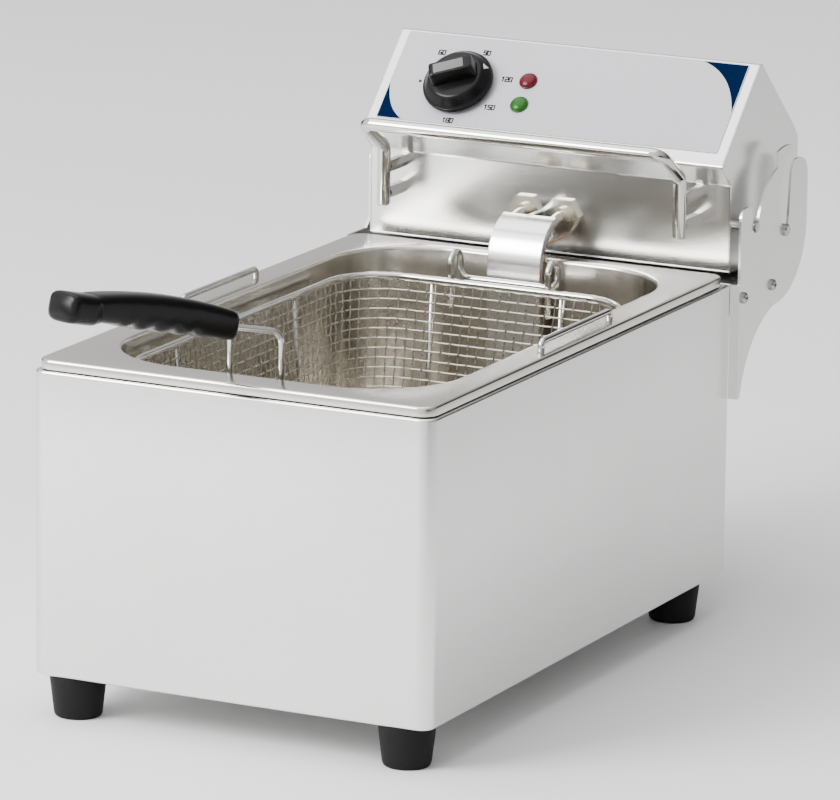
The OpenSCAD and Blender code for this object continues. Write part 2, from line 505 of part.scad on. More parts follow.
// thermostat knob
knob_a = 23;                    // turn of the grip bar from level
module thermostat_knob() color([0.05, 0.05, 0.05]) on_panel(knob_x, knob_v) difference() {
  union() {
    translate([0, 0, 3.2]) cylinder(h = 2.6, d = knob_d);
    translate([0, 0, 5.8]) cylinder(h = 6.6, d1 = knob_d - 1.5, d2 = knob_d - 13);
    rotate([0, 0, knob_a]) translate([-14.5, -5.5, 12]) cube([29, 11, 11]);
  }
  translate([0, 0, 3.1]) cylinder(h = 1.3, r = 9);
  translate([0, 0, 2]) cylinder(h = 14, r = 3.05);
  rotate([0, 0, knob_a]) translate([-11, -3.5, 22]) cube([20, 7, 5]);
}
module knob_inlay() color([0.55, 0.55, 0.56]) on_panel(knob_x, knob_v) {
  rotate([0, 0, knob_a]) translate([-11, -3.5, 22]) cube([20, 7, 1.2]);
}
module thermostat_spindle() color("gainsboro") on_panel(knob_x, knob_v) translate([0, 0, -11]) cylinder(h = 26.5, r = 3);

outer_casing();
rear_panel();
rear_panel_screws();
base_plate();
rubber_feet();
foot_screws();
side_bracket_left();
side_bracket_right();
bracket_screws();
rear_crossmember();
oil_tank();
tank_handle_left();
tank_handle_right();
basket_mesh();
basket_rim();
basket_frame_wires();
basket_rear_hooks();
basket_handle_wires();
basket_grip();
head_shell();
head_cheek_left();
head_cheek_right();
head_base_plate();
head_screws();
control_faceplate();
red_lamp();
green_lamp();
lamp_bodies();
thermostat();
thermostat_nut();
safety_cutout();
terminal_block();
contactor();
head_wiring();
cord_bushing();
bushing_nut();
lifting_bar();
bar_standoffs();
pivot_pins();
holding_pin();
element_hood();
heating_element();
element_nuts();
element_clip();
thermostat_bulbs();
capillary_tubes();
thermostat_knob();
knob_inlay();
thermostat_spindle();
reset_button();
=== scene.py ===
import bpy
import json
import math
from mathutils import Matrix, Vector


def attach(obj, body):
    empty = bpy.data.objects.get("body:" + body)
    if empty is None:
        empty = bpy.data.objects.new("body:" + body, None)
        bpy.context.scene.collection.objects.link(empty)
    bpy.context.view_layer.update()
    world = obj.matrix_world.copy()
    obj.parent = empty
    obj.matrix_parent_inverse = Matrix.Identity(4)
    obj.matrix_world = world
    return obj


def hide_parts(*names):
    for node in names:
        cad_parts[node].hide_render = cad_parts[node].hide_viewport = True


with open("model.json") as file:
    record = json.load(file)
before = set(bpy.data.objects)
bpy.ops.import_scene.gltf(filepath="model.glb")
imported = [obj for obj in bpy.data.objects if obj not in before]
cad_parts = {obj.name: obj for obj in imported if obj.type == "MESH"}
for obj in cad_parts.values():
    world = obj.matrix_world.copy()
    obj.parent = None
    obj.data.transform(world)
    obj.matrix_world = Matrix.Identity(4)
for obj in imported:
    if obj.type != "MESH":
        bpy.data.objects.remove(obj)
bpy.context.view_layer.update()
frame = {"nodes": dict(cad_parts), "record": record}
MM = 0.001
C45 = math.sqrt(0.5)


# ---------------------------------------------------------------- mesh helpers
def piece(name, vf, mat, body=None, reps=(), angle=35, stage=False):
    verts, faces = vf
    me = bpy.data.meshes.new(name)
    me.from_pydata([tuple(c * MM for c in v) for v in verts], [], faces)
    me.validate()
    me.update()
    for p in me.polygons:
        p.use_smooth = True
    me.set_sharp_from_angle(angle=math.radians(angle))
    me.materials.append(mat)
    o = bpy.data.objects.new(name, me)
    bpy.context.scene.collection.objects.link(o)
    if stage:
        return o
    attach(o, body)
    if reps:
        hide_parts(*reps)
    return o


def join(*parts):
    V, F = [], []
    for v, f in parts:
        k = len(V)
        V += list(v)
        F += [tuple(i + k for i in q) for q in f]
    return V, F


def place(vf, m):
    return [tuple(m @ Vector(v)) for v in vf[0]], vf[1]


def mirror_x(vf):
    return [(-v[0], v[1], v[2]) for v in vf[0]], [tuple(reversed(f)) for f in vf[1]]


def loft(rings, closed=True, cap0=False, cap1=False, loop=False):
    n = len(rings[0])
    V = [tuple(p) for r in rings for p in r]
    F = []
    m = len(rings)
    for i in range(m if loop else m - 1):
        a, b = i * n, ((i + 1) % m) * n
        for j in range(n if closed else n - 1):
            k = (j + 1) % n
            F.append((a + j, a + k, b + k, b + j))
    if cap0:
        F.append(tuple(reversed(range(n))))
    if cap1:
        F.append(tuple(range((m - 1) * n, m * n)))
    return V, F


def tube(pts, r, n=12, closed=False):
    P = [Vector(p) for p in pts]
    m = len(P)
    T = []
    for i in range(m):
        if closed:
            d = P[(i + 1) % m] - P[i - 1]
        else:
            d = P[min(i + 1, m - 1)] - P[max(i - 1, 0)]
        T.append(d.normalized())
    a = Vector((0, 0, 1)) if abs(T[0].z) < 0.9 else Vector((1, 0, 0))
    u = (a - T[0] * a.dot(T[0])).normalized()
    rings = []
    for i in range(m):
        u = (u - T[i] * u.dot(T[i])).normalized()
        w = T[i].cross(u)
        rings.append([P[i] + (u * math.cos(2 * math.pi * j / n) + w * math.sin(2 * math.pi * j / n)) * r for j in range(n)])
    if closed:
        return loft(rings, loop=True)
    # slightly rounded ends
    def cap(i, s):
        c = P[i] + T[i] * (s * r * 0.25)
        return [c + (q - P[i]) * 0.8 for q in rings[i]]
    rings = [cap(0, -1)] + rings + [cap(m - 1, 1)]
    return loft(rings, cap0=True, cap1=True)


def fillet(pts, R, k=6):
    P = [Vector(p) for p in pts]
    out = [P[0]]
    for i in range(1, len(P) - 1):
        a, b, c = P[i - 1], P[i], P[i + 1]
        la, lc = (a - b).length, (c - b).length
        d1, d2 = (a - b).normalized(), (c - b).normalized()
        ang = d1.angle(d2)
        t = min(R / math.tan(ang / 2), la * 0.49, lc * 0.49)
        s, e = b + d1 * t, b + d2 * t
        rad = t * math.tan(ang / 2)
        mid = (d1 + d2).normalized()
        cen = b + mid * (rad / math.sin(ang / 2))
        v0, v1 = s - cen, e - cen
        w = v0.angle(v1)
        for j in range(k + 1):
            f = j / k
            if w < 1e-4:
                out.append(s.lerp(e, f))
            else:
                out.append(cen + (v0 * math.sin((1 - f) * w) + v1 * math.sin(f * w)) / math.sin(w))
    out.append(P[-1])
    return out


def fillet2(pts, radii, k=5):
    """Rounds the corners of a closed 2-D outline."""
    n = len(pts)
    out = []
    for i in range(n):
        a, b, c = Vector(pts[i - 1]), Vector(pts[i]), Vector(pts[(i + 1) % n])
        R = radii[i] if isinstance(radii, (list, tuple)) else radii
        if R <= 0:
            out.append((b.x, b.y))
            continue
        d1, d2 = (a - b).normalized(), (c - b).normalized()
        ang = math.acos(max(-1, min(1, d1.dot(d2))))
        if ang > math.radians(176):
            out.append((b.x, b.y))
            continue
        t = min(R / math.tan(ang / 2), (a - b).length * 0.49, (c - b).length * 0.49)
        rad = t * math.tan(ang / 2)
        cen = b + (d1 + d2).normalized() * (rad / math.sin(ang / 2))
        v0, v1 = b + d1 * t - cen, b + d2 * t - cen
        w = math.acos(max(-1, min(1, v0.normalized().dot(v1.normalized()))))
        for j in range(k + 1):
            f = j / k
            q = cen + (v0 * math.sin((1 - f) * w) + v1 * math.sin(f * w)) / math.sin(w)
            out.append((q.x, q.y))
    return out


def offset(pts, d):
    """Moves a closed counter-clockwise outline inward by d."""
    n = len(pts)
    out = []
    for i in range(n):
        a, b, c = Vector(pts[i - 1]), Vector(pts[i]), Vector(pts[(i + 1) % n])
        e1, e2 = (b - a), (c - b)
        if e1.length < 1e-6 or e2.length < 1e-6:
            out.append(tuple(b))
            continue
        e1.normalize()
        e2.normalize()
        n1, n2 = Vector((-e1.y, e1.x)), Vector((-e2.y, e2.x))
        q = b + (n1 + n2) * (d / max(0.35, 1 + n1.dot(n2)))
        out.append((q.x, q.y))
    return out


def prism(outline, m, t, b=0.3):
    """A plate of that outline, its faces at local z 0 and t, with small bevels."""
    ins = offset(outline, b)
    rings = [[(x, y, 0) for x, y in ins], [(x, y, b) for x, y in outline], [(x, y, t - b) for x, y in outline], [(x, y, t) for x, y in ins]]
    return place(loft(rings, cap0=True, cap1=True), m)


def rrect(x0, x1, y0, y1, r, n=8):
    out = []
    for cx, cy, a0 in ((x1 - r, y1 - r, 0), (x0 + r, y1 - r, 90), (x0 + r, y0 + r, 180), (x1 - r, y0 + r, 270)):
        for i in range(n + 1):
            a = math.radians(a0 + 90 * i / n)
            out.append((cx + r * math.cos(a), cy + r * math.sin(a)))
    return out


def revolve(profile, m, n=64):
    rings = []
    for r, z in profile:
        rings.append([(r * math.cos(2 * math.pi * j / n), r * math.sin(2 * math.pi * j / n), z) for j in range(n)])
    return place(loft(rings, cap0=True, cap1=True), m)


def hexagon(r, rot=0):
    return [(r * math.cos(math.radians(60 * i + rot)), r * math.sin(math.radians(60 * i + rot))) for i in range(6)]


def panel(x, v):
    return Matrix.Translation((x, 265.5 - v * C45, 345 - v * C45)) @ Matrix.Rotation(math.radians(45), 4, "X")


# X,Y,Z of plate -> (y, z) outlines standing across x
def yz(x):
    return Matrix(((0, 0, 1, x), (1, 0, 0, 0), (0, 1, 0, 0), (0, 0, 0, 1)))


# ---------------------------------------------------------------- materials
def base_mat(name):
    m = bpy.data.materials.new(name)
    m.use_nodes = True
    nt = m.node_tree
    return m, nt, nt.nodes["Principled BSDF"]


def detail(nt, bsdf, scale, stretch, rough, spread, bump, dist=0.0002, tint=None, detail_n=4.0):
    N, L = nt.nodes, nt.links
    tc = N.new("ShaderNodeTexCoord")
    mp = N.new("ShaderNodeMapping")
    mp.inputs["Scale"].default_value = stretch
    L.new(tc.outputs["Object"], mp.inputs["Vector"])
    nz = N.new("ShaderNodeTexNoise")
    nz.inputs["Scale"].default_value = scale
    nz.inputs["Detail"].default_value = detail_n
    L.new(mp.outputs["Vector"], nz.inputs["Vector"])
    mr = N.new("ShaderNodeMapRange")
    mr.inputs["To Min"].default_value = max(0.0, rough - spread)
    mr.inputs["To Max"].default_value = rough + spread
    L.new(nz.outputs["Fac"], mr.inputs["Value"])
    L.new(mr.outputs["Result"], bsdf.inputs["Roughness"])
    bp = N.new("ShaderNodeBump")
    bp.inputs["Strength"].default_value = bump
    bp.inputs["Distance"].default_value = dist
    L.new(nz.outputs["Fac"], bp.inputs["Height"])
    L.new(bp.outputs["Normal"], bsdf.inputs["Normal"])
    if tint:
        big = N.new("ShaderNodeTexNoise")
        big.inputs["Scale"].default_value = tint[2]
        big.inputs["Detail"].default_value = 3.0
        L.new(tc.outputs["Object"], big.inputs["Vector"])
        mix = N.new("ShaderNodeMix")
        mix.data_type = "RGBA"
        mix.inputs[6].default_value = (*tint[0], 1)
        mix.inputs[7].default_value = (*tint[1], 1)
        L.new(big.outputs["Fac"], mix.inputs[0])
        L.new(mix.outputs[2], bsdf.inputs["Base Color"])


def steel(name, col, rough=0.3, stretch=(1, 1, 30), scale=60, bump=0.15, spread=0.05, aniso=0.0, vary=0.03):
    m, nt, b = base_mat(name)
    b.inputs["Metallic"].default_value = 1.0
    b.inputs["Anisotropic"].default_value = aniso
    lo = tuple(max(0, c - vary) for c in col)
    hi = tuple(min(1, c + vary) for c in col)
    detail(nt, b, scale, stretch, rough, spread, bump, 0.00005, (lo, hi, 9.0))
    return m


def plastic(name, col, rough=0.35, scale=900, bump=0.08, spread=0.05, coat=0.0, spec=0.5, vary=0.006, trans=0.0):
    m, nt, b = base_mat(name)
    b.inputs["Metallic"].default_value = 0.0
    b.inputs["Specular IOR Level"].default_value = spec
    b.inputs["Coat Weight"].default_value = coat
    if trans:
        b.inputs["Transmission Weight"].default_value = trans
    lo = tuple(max(0, c - vary) for c in col)
    hi = tuple(min(1, c + vary) for c in col)
    detail(nt, b, scale, (1, 1, 1), rough, spread, bump, 0.00005, (lo, hi, 25.0))
    return m


M = {
    "casing_steel": steel("casing_steel", (0.78, 0.78, 0.77), 0.25, (1, 1, 30), 60, 0.22, 0.07, vary=0.05),
    "bracket_steel": steel("bracket_steel", (0.66, 0.66, 0.64), 0.25, (1, 1, 22), 80, 0.14),
    "head_steel": steel("head_steel", (0.70, 0.70, 0.69), 0.22, (1, 1, 30), 60, 0.22, 0.07, vary=0.05),
    "hood_steel": steel("hood_steel", (0.82, 0.82, 0.81), 0.24, (24, 1, 1), 80, 0.1),
    "tank_steel": steel("tank_steel", (0.66, 0.64, 0.59), 0.2, (1, 1, 6), 40, 0.1, 0.06),
    "chrome_wire": steel("chrome_wire", (0.60, 0.59, 0.565), 0.09, (1, 1, 1), 300, 0.04, 0.03),
    "mesh_steel": steel("mesh_steel", (0.46, 0.43, 0.37), 0.28, (1, 1, 1), 400, 0.1, 0.08),
    "fastener_steel": steel("fastener_steel", (0.40, 0.39, 0.37), 0.2, (1, 1, 1), 500, 0.08),
    "foot_rubber": plastic("foot_rubber", (0.008, 0.008, 0.008), 0.6, 700, 0.25, 0.08, spec=0.12, vary=0.003),
    "black_plastic": plastic("black_plastic", (0.004, 0.004, 0.004), 0.24, 900, 0.05, 0.04, spec=0.16, vary=0.002),
    "dark_plastic": plastic("dark_plastic", (0.05, 0.05, 0.052), 0.5),
    "inlay_grey": plastic("inlay_grey", (0.13, 0.13, 0.135), 0.4, spec=0.3),
    "faceplate_film": plastic("faceplate_film", (0.43, 0.43, 0.455), 0.42, 600, 0.06, spec=0.3),
    "film_blue": plastic("film_blue", (0.0008, 0.0075, 0.032), 0.5, 600, 0.06, spec=0.0, vary=0.0006),
    "print_dark": plastic("print_dark", (0.004, 0.004, 0.005), 0.6, spec=0.0, vary=0.001),
    "print_white": plastic("print_white", (0.6, 0.6, 0.6), 0.5),
    "red_lens": plastic("red_lens", (0.085, 0.0008, 0.006), 0.2, 700, 0.05, 0.03, 0.0, 0.22, vary=0.0006),
    "green_lens": plastic("green_lens", (0.010, 0.085, 0.004), 0.2, 700, 0.05, 0.03, 0.0, 0.22, vary=0.0006),
    "pale_plastic": plastic("pale_plastic", (0.5, 0.48, 0.43), 0.5),
    "button_red": plastic("button_red", (0.3, 0.01, 0.01), 0.4),
    "wire_brown": plastic("wire_brown", (0.16, 0.07, 0.03), 0.45),
    "element_tube": steel("element_tube", (0.58, 0.56, 0.52), 0.26, (1, 1, 1), 200, 0.1, 0.08),
    "brass_nut": steel("brass_nut", (0.72, 0.68, 0.58), 0.25, (1, 1, 1), 300, 0.08),
    "copper_tube": steel("copper_tube", (0.72, 0.45, 0.30), 0.3, (1, 1, 1), 300, 0.08),
}
slot_of = {s["node"]: s["material_slot"] for s in frame["record"]["subparts"]}
for n, o in frame["nodes"].items():
    o.data.materials.clear()
    o.data.materials.append(M[slot_of[n]])

# ---------------------------------------------------------------- casing
W2, D2, FH, TOP = 132.5, 210.0, 26.5, 213.0


def casing_path(i):
    p = [(-W2 + 15, D2 - i), (-W2 + i, D2 - i)]
    for cx, a0 in ((-W2 + 9, 180), (W2 - 9, 270)):
        for k in range(9):
            a = math.radians(a0 + 90 * k / 8)
            p.append((cx + (9 - i) * math.cos(a), -D2 + 9 + (9 - i) * math.sin(a)))
    p += [(W2 - i, D2 - i), (W2 - 15, D2 - i)]
    return p


def casing_sections():
    r = 1.6
    out = []
    for k in range(5):
        a = math.radians(90 * k / 4)
        out.append((r - r * math.sin(a), FH + r - r * math.cos(a)))
    out = [(12, FH)] + out
    top = []
    for k in range(5):
        a = math.radians(90 * k / 4)
        top.append((r - r * math.cos(a), TOP - r + r * math.sin(a)))
    out += top + [(12, TOP), (12, TOP - 1), (r, TOP - 1)]
    out += [(1.0, TOP - r), (1.0, FH + r), (r, FH + 1), (12, FH + 1)]
    return out


sec = casing_sections()
rings = [[(x, y, z) for x, y in casing_path(min(i, 8.6))] for i, z in sec]
rings = [list(r) for r in zip(*rings)]
piece("casing_skin", loft(rings, cap0=True, cap1=True), M["casing_steel"], "casing", ["outer_casing"], 40)

feet = []
for x in (-110, 110):
    for y in (-192, 182):
        feet.append(revolve([(6.5, 12.9), (6.5, 0.4), (7, 0), (13, 0), (14.1, 0.8), (14.7, 2.4), (17.3, 24.5), (17.5, 25.6), (17.1, 26.45), (2.3, 26.45)], Matrix.Translation((x, y, 0)), 48))
piece("feet_soft", join(*feet), M["foot_rubber"], "casing", ["rubber_feet"], 50)

# ---------------------------------------------------------------- oil tank
TZ, LIP = 219.5, 213.8


def rr3(i, z, kind):
    if kind == 0:
        return [(x, y, z) for x, y in rrect(-130.5 + i, 130.5 - i, -208 + i, 208 - i, 10 - min(i, 8), 10)]
    return [(x, y, z) for x, y in rrect(-109.5 - i, 109.5 + i, -183 - i, 195 + i, 58 + i, 10)]


tr = [rr3(1, LIP, 0), rr3(0, LIP, 0), rr3(0, TZ - 1.6, 0), rr3(0.3, TZ - 0.7, 0), rr3(0.9, TZ - 0.15, 0), rr3(1.8, TZ, 0)]
for k in range(6):
    a = math.radians(90 * k / 5)
    tr.append(rr3(2.5 - 2.5 * math.sin(a), TZ - 2.5 + 2.5 * math.cos(a), 1))
ZB = TZ - 149
tr.append(rr3(0, 150, 1))
for k in range(8):
    a = math.radians(90 * k / 7)
    tr.append(rr3(-20 + 20 * math.cos(a), ZB + 20 - 20 * math.sin(a), 1))
tr.append(rr3(-45, ZB - 0.0, 1))
inner = loft(tr, cap1=True)
to = [rr3(1, LIP, 0), rr3(1, TZ - 1, 0), rr3(1.2, TZ - 1, 1), rr3(1, 150, 1)]
for k in range(8):
    a = math.radians(90 * k / 7)
    to.append(rr3(-20 + 21 * math.cos(a), ZB + 20 - 21 * math.sin(a), 1))
to.append(rr3(-45, ZB - 1, 1))
outer = loft(to, cap1=True)
outer = (outer[0], [tuple(reversed(f)) for f in outer[1]])
piece("tank_drawn", join(inner, outer), M["tank_steel"], "casing", ["oil_tank"], 40)
for s, nm in ((-1, "left"), (1, "right")):
    pts = fillet([(s * 121.5, -42, TZ - 0.4), (s * 121.5, -42, 225.2), (s * 121.5, 54, 225.2), (s * 121.5, 54, TZ - 0.4)], 4)
    piece("tank_wire_" + nm, tube(pts, 2.1, 16), M["chrome_wire"], "casing", ["tank_handle_" + nm], 60)

# ---------------------------------------------------------------- basket
RX, RY0, RY1, RZ, RR = 99.0, -172.0, 147.0, 209.0, 38.0
MT, MB = 206.75, 111.75
rim = [(x, y, RZ) for x, y in rrect(-RX, RX, RY0, RY1, RR, 12)]
piece("rim_wire", tube(rim, 2.25, 16, True), M["chrome_wire"], "basket", ["basket_rim"], 60)


def wall(t):
    """Half widths and corner radius of the net at depth t (0 top, 1 bottom edge)."""
    keys = [(0.0, 98.0, -171.0, 146.0, 37.0, MT), (0.89, 90.0, -163.0, 138.0, 32.0, MB + 10), (0.97, 87.0, -160.0, 135.0, 30.0, MB + 3), (1.0, 81.0, -154.0, 129.0, 26.0, MB)]
    for a, b in zip(keys, keys[1:]):
        if t <= b[0]:
            f = (t - a[0]) / (b[0] - a[0])
            return [p + (q - p) * f for p, q in zip(a[1:], b[1:])]
    return list(keys[-1][1:])


def around(t, n, phase=0.0):
    hx, y0, y1, r, z = wall(t)
    base = rrect(-hx, hx, y0, y1, r, 12)
    P = [Vector(p) for p in base]
    L = [0.0]
    m = len(P)
    for i in range(m):
        L.append(L[-1] + (P[(i + 1) % m] - P[i]).length)
    out = []
    j = 0
    for k in range(n):
        s = (k + phase) / n * L[-1]
        while L[j + 1] < s:
            j += 1
        f = (s - L[j]) / max(1e-9, L[j + 1] - L[j])
        q = P[j % m].lerp(P[(j + 1) % m], f)
        e = (P[(j + 1) % m] - P[j % m])
        e.normalize()
        out.append((q.x, q.y, z, e.y, -e.x))
    return out


NW, NR, WR = 150, 16, 0.5
net = []
levels = [0.0 + 0.97 * i / (NR - 1) for i in range(NR)]
rows = [around(t, NW * 2) for t in levels]
for i, row in enumerate(rows):
    pts = []
    for k in range(0, NW * 2):
        x, y, z, nx, ny = row[k]
        w = 0.0 if k % 2 else (0.42 if ((k // 2) + i) % 2 else -0.42)
        pts.append((x + nx * w, y + ny * w, z))
    net.append(tube(pts, WR, 4, True))
for k in range(0, NW * 2, 2):
    pts = []
    for i, row in enumerate(rows):
        x, y, z, nx, ny = row[k]
        w = -0.42 if ((k // 2) + i) % 2 else 0.42
        pts.append((x + nx * w, y + ny * w, z))
    x, y, z, nx, ny = around(1.0, NW * 2)[k]
    pts.append((x, y, z))
    net.append(tube(pts, WR, 4))
# floor of the net
hx, y0, y1, r, zf = wall(1.0)
hx, y0, y1 = hx + 3, y0 - 3, y1 + 3


def reach(u, half, lo, hi, rad):
    d = max(0.0, lo + rad - u, u - (hi - rad))
    return half - rad + math.sqrt(max(0.0, rad * rad - d * d))


x = -84.0 + 3
while x < 84:
    d = max(0.0, abs(x) - (hx - 29))
    e = 29 - math.sqrt(max(0.0, 29 * 29 - d * d))
    net.append(tube([(x, y0 + e, zf + 1.0), (x, y0 + e + 4, zf + 0.3), (x, y1 - e - 4, zf + 0.3), (x, y1 - e, zf + 1.0)], WR, 4))
    x += 6.4
y = y0 + 3
while y < y1:
    d = max(0.0, y0 + 29 - y, y - (y1 - 29))
    e = 29 - math.sqrt(max(0.0, 29 * 29 - d * d))
    net.append(tube([(-hx + e, y, zf + 1.0), (-hx + e + 4, y, zf - 0.5), (hx - e - 4, y, zf - 0.5), (hx - e, y, zf + 1.0)], WR, 4))
    y += 6.4
piece("basket_net", join(*net), M["mesh_steel"], "basket", ["basket_mesh"], 70)

fw = []
zb = MB - 1.9
for x in (-45, 45):
    fw.append(tube(fillet([(x, RY0 - 1.3, MT - 1), (x, -166, MB + 10), (x, -156, zb), (x, 131, zb), (x, 141, MB + 10), (x, RY1 + 1.3, MT - 1)], 9), 1.7, 12))
for y in (-90, 65):
    fw.append(tube(fillet([(-RX - 1.3, y, MT - 1), (-93, y, MB + 10), (-83, y, zb - 1.2), (83, y, zb - 1.2), (93, y, MB + 10), (RX + 1.3, y, MT - 1)], 9), 1.7, 12))
piece("frame_wires", join(*fw), M["chrome_wire"], "basket", ["basket_frame_wires"], 60)

yf = RY1 + 4.4
yr = yf + 14
hk = fillet([(-34, yf, 192), (-34, yf, 226), (-34, yr, 226), (-34, yr, 208), (34, yr, 208), (34, yr, 226), (34, yf, 226), (34, yf, 192)], 6.5, 8)
piece("hook_wire", tube(hk, 2.1, 16), M["chrome_wire"], "basket", ["basket_rear_hooks"], 60)

YAW, RISE, GL = math.radians(17), math.radians(13.4), 140.0
HP = Vector((0, RY0 - 4.4, 246))


def hpt(u, v, w):
    h = u * math.cos(RISE) - w * math.sin(RISE)
    return HP + Vector((-math.sin(YAW) * h + math.cos(YAW) * v, -math.cos(YAW) * h - math.sin(YAW) * v, u * math.sin(RISE) + w * math.cos(RISE)))


hw = []
for s in (-1, 1):
    hw.append(tube(fillet([(s * 17, HP.y, 150), (s * 17, HP.y, 246), hpt(24, s * 6, 0), hpt(60, s * 6, 0)], 9, 8), 2.0, 16))
piece("handle_wires", join(*hw), M["chrome_wire"], "basket", ["basket_handle_wires"], 60)


def smooth(a, b, x):
    t = max(0.0, min(1.0, (x - a) / (b - a)))
    return t * t * (3 - 2 * t)


def grip():
    rings = []
    n = 40
    u0, u1 = 22.0, 22.0 + GL
    us = [u0 + (u1 - u0) * i / 110 for i in range(111)]
    for u in us:
        t = (u - u0) / GL
        top = 9.0 + 4.6 * math.sin(math.pi * min(1, t / 0.86)) ** 0.8 if t < 0.86 else 9.0
        bot = -8.4
        for c in (60, 76.5, 93, 109.5):
            d = (u - c) / 8.2
            if abs(d) < 1:
                bot += 2.0 * math.cos(d * math.pi / 2) ** 2
        bot += 1.6 * smooth(112, 122, u) * (1 - smooth(134, 140, u))
        half = 9.2 + 1.6 * smooth(u0, u0 + 50, u)
        k = smooth(u1 - 23, u1 - 19, u)
        top = top + (9.0 - top) * k
        bot = bot + (-9.0 - bot) * k
        half = half + (12.0 - half) * k
        e = 1.0
        if u < u0 + 5:
            e = math.sqrt(max(0.0, 1 - ((u0 + 5 - u) / 5) ** 2)) * 0.35 + 0.65
        if u > u1 - 4:
            e = math.sqrt(max(0.0, 1 - ((u - u1 + 4) / 4) ** 2)) * 0.28 + 0.72
        cz, hz = (top + bot) / 2, (top - bot) / 2
        ring = []
        for j in range(n):
            a = 2 * math.pi * j / n
            ca, sa = math.cos(a), math.sin(a)
            p = 0.55
            x_ = half * e * math.copysign(abs(ca) ** p, ca)
            z_ = cz + hz * e * math.copysign(abs(sa) ** p, sa)
            ring.append(hpt(u, x_, z_))
        rings.append(ring)
    return loft(rings, cap0=True, cap1=True)


piece("grip_moulding", grip(), M["black_plastic"], "basket", ["basket_grip"], 50)

# ---------------------------------------------------------------- control head
HPROF = [(221.5, 217), (326, 217), (326, 288), (319, 296), (265.5, 345), (207.5, 287), (221.5, 273.5)]
hp_r = fillet2(HPROF, [2, 2, 5, 5, 3, 2.2, 3], 5)
hp_i = offset(hp_r, 1.0)
shell = loft([[(-125.6, y, z) for y, z in hp_r], [(125.6, y, z) for y, z in hp_r]])
shell_i = loft([[(-125.6, y, z) for y, z in hp_i], [(125.6, y, z) for y, z in hp_i]])
ends = loft([[(-125.6, y, z) for y, z in hp_r], [(-125.6, y, z) for y, z in hp_i]])
ends2 = loft([[(125.6, y, z) for y, z in hp_r], [(125.6, y, z) for y, z in hp_i]])
piece("head_wrap", join(shell, shell_i, ends, ends2), M["head_steel"], "head", ["head_shell"], 30)
for s, nm in ((-1, "left"), (1, "right")):
    vf = prism(hp_r, yz(125.7), 1.0, 0.35)
    if s < 0:
        vf = mirror_x(vf)
    piece("cheek_" + nm, vf, M["head_steel"], "head", ["head_cheek_" + nm], 30)

plate = fillet2([(-120, -71.5), (119.5, -71.5), (119.5, -3), (-120, -3)], 1.5, 4)
piece("face_film", prism(plate, panel(0, 0), 0.5, 0.12), M["faceplate_film"], "head", ["control_faceplate"], 30)


def curve3(a, b, c, n=14):
    return [((1 - t) ** 2 * a[0] + 2 * t * (1 - t) * b[0] + t * t * c[0], (1 - t) ** 2 * a[1] + 2 * t * (1 - t) * b[1] + t * t * c[1]) for t in [i / n for i in range(n + 1)]]


tri1 = [(118.9, -3.7)] + curve3((88, -3.7), (111, -11), (118.9, -40))
tri2 = [(-119.4, -70.9)] + curve3((-102, -70.9), (-115, -64), (-119.4, -44))
for nm, t in (("right", tri1), ("left", tri2)):
    m = panel(0, 0) @ Matrix.Translation((0, 0, 0.5))
    a = sum(t[i - 1][0] * t[i][1] - t[i][0] * t[i - 1][1] for i in range(len(t)))
    if a < 0:
        t = t[::-1]
    piece("film_corner_" + nm, prism(t, m, 0.06, 0.01), M["film_blue"], "head", [], 30)

KX, KV = -70.8, 40.8
STROKES = {
    "0": [[(0, 0), (1, 0), (1, 2), (0, 2), (0, 0)]],
    "1": [[(0.2, 1.6), (0.6, 2), (0.6, 0)]],
    "2": [[(0, 2), (1, 2), (1, 1), (0, 1), (0, 0), (1, 0)]],
    "3": [[(0, 2), (1, 2), (1, 0), (0, 0)], [(0.2, 1), (1, 1)]],
    "4": [[(0, 2), (0, 1), (1, 1)], [(0.8, 2), (0.8, 0)]],
    "5": [[(1, 2), (0, 2), (0, 1), (1, 1), (1, 0), (0, 0)]],
    "6": [[(1, 2), (0, 2), (0, 0), (1, 0), (1, 1), (0, 1)]],
    "7": [[(0, 2), (1, 2), (0.4, 0)]],
    "8": [[(0, 0), (1, 0), (1, 2), (0, 2), (0, 0)], [(0, 1), (1, 1)]],
    "9": [[(1, 1), (0, 1), (0, 2), (1, 2), (1, 0), (0, 0)]],
}


def stroke(a, b, w, m, t=0.06):
    a, b = Vector(a), Vector(b)
    d = (b - a)
    if d.length < 1e-6:
        return [], []
    d.normalize()
    n = Vector((-d.y, d.x)) * (w / 2)
    e = d * (w / 2)
    q = [a - e - n, b + e - n, b + e + n, a - e + n]
    return prism([(p.x, p.y) for p in q], m, t, 0.01)


printing = []
mk = panel(KX, KV) @ Matrix.Translation((0, 0, 0.5))
for px, py, txt in ((-21, 23.5, "60"), (10, 26.5, "90"), (30.5, 8, "120"), (26, -14.5, "150"), (1, -27.6, "180")):
    cx, cy = px - (len(txt) * 2.7 - 0.9) / 2, py - 1.6
    for ch in txt:
        for st in STROKES[ch]:
            for a, b in zip(st, st[1:]):
                printing.append(stroke((cx + a[0] * 1.8, cy + a[1] * 1.6), (cx + b[0] * 1.8, cy + b[1] * 1.6), 0.8, mk))
        cx += 2.7
printing.append(prism([(-29.2, -1.3), (-26.6, 0), (-29.2, 1.3)], mk, 0.06, 0.01))
piece("dial_print", join(*[p for p in printing if p[0]]), M["print_dark"], "head", [], 30)

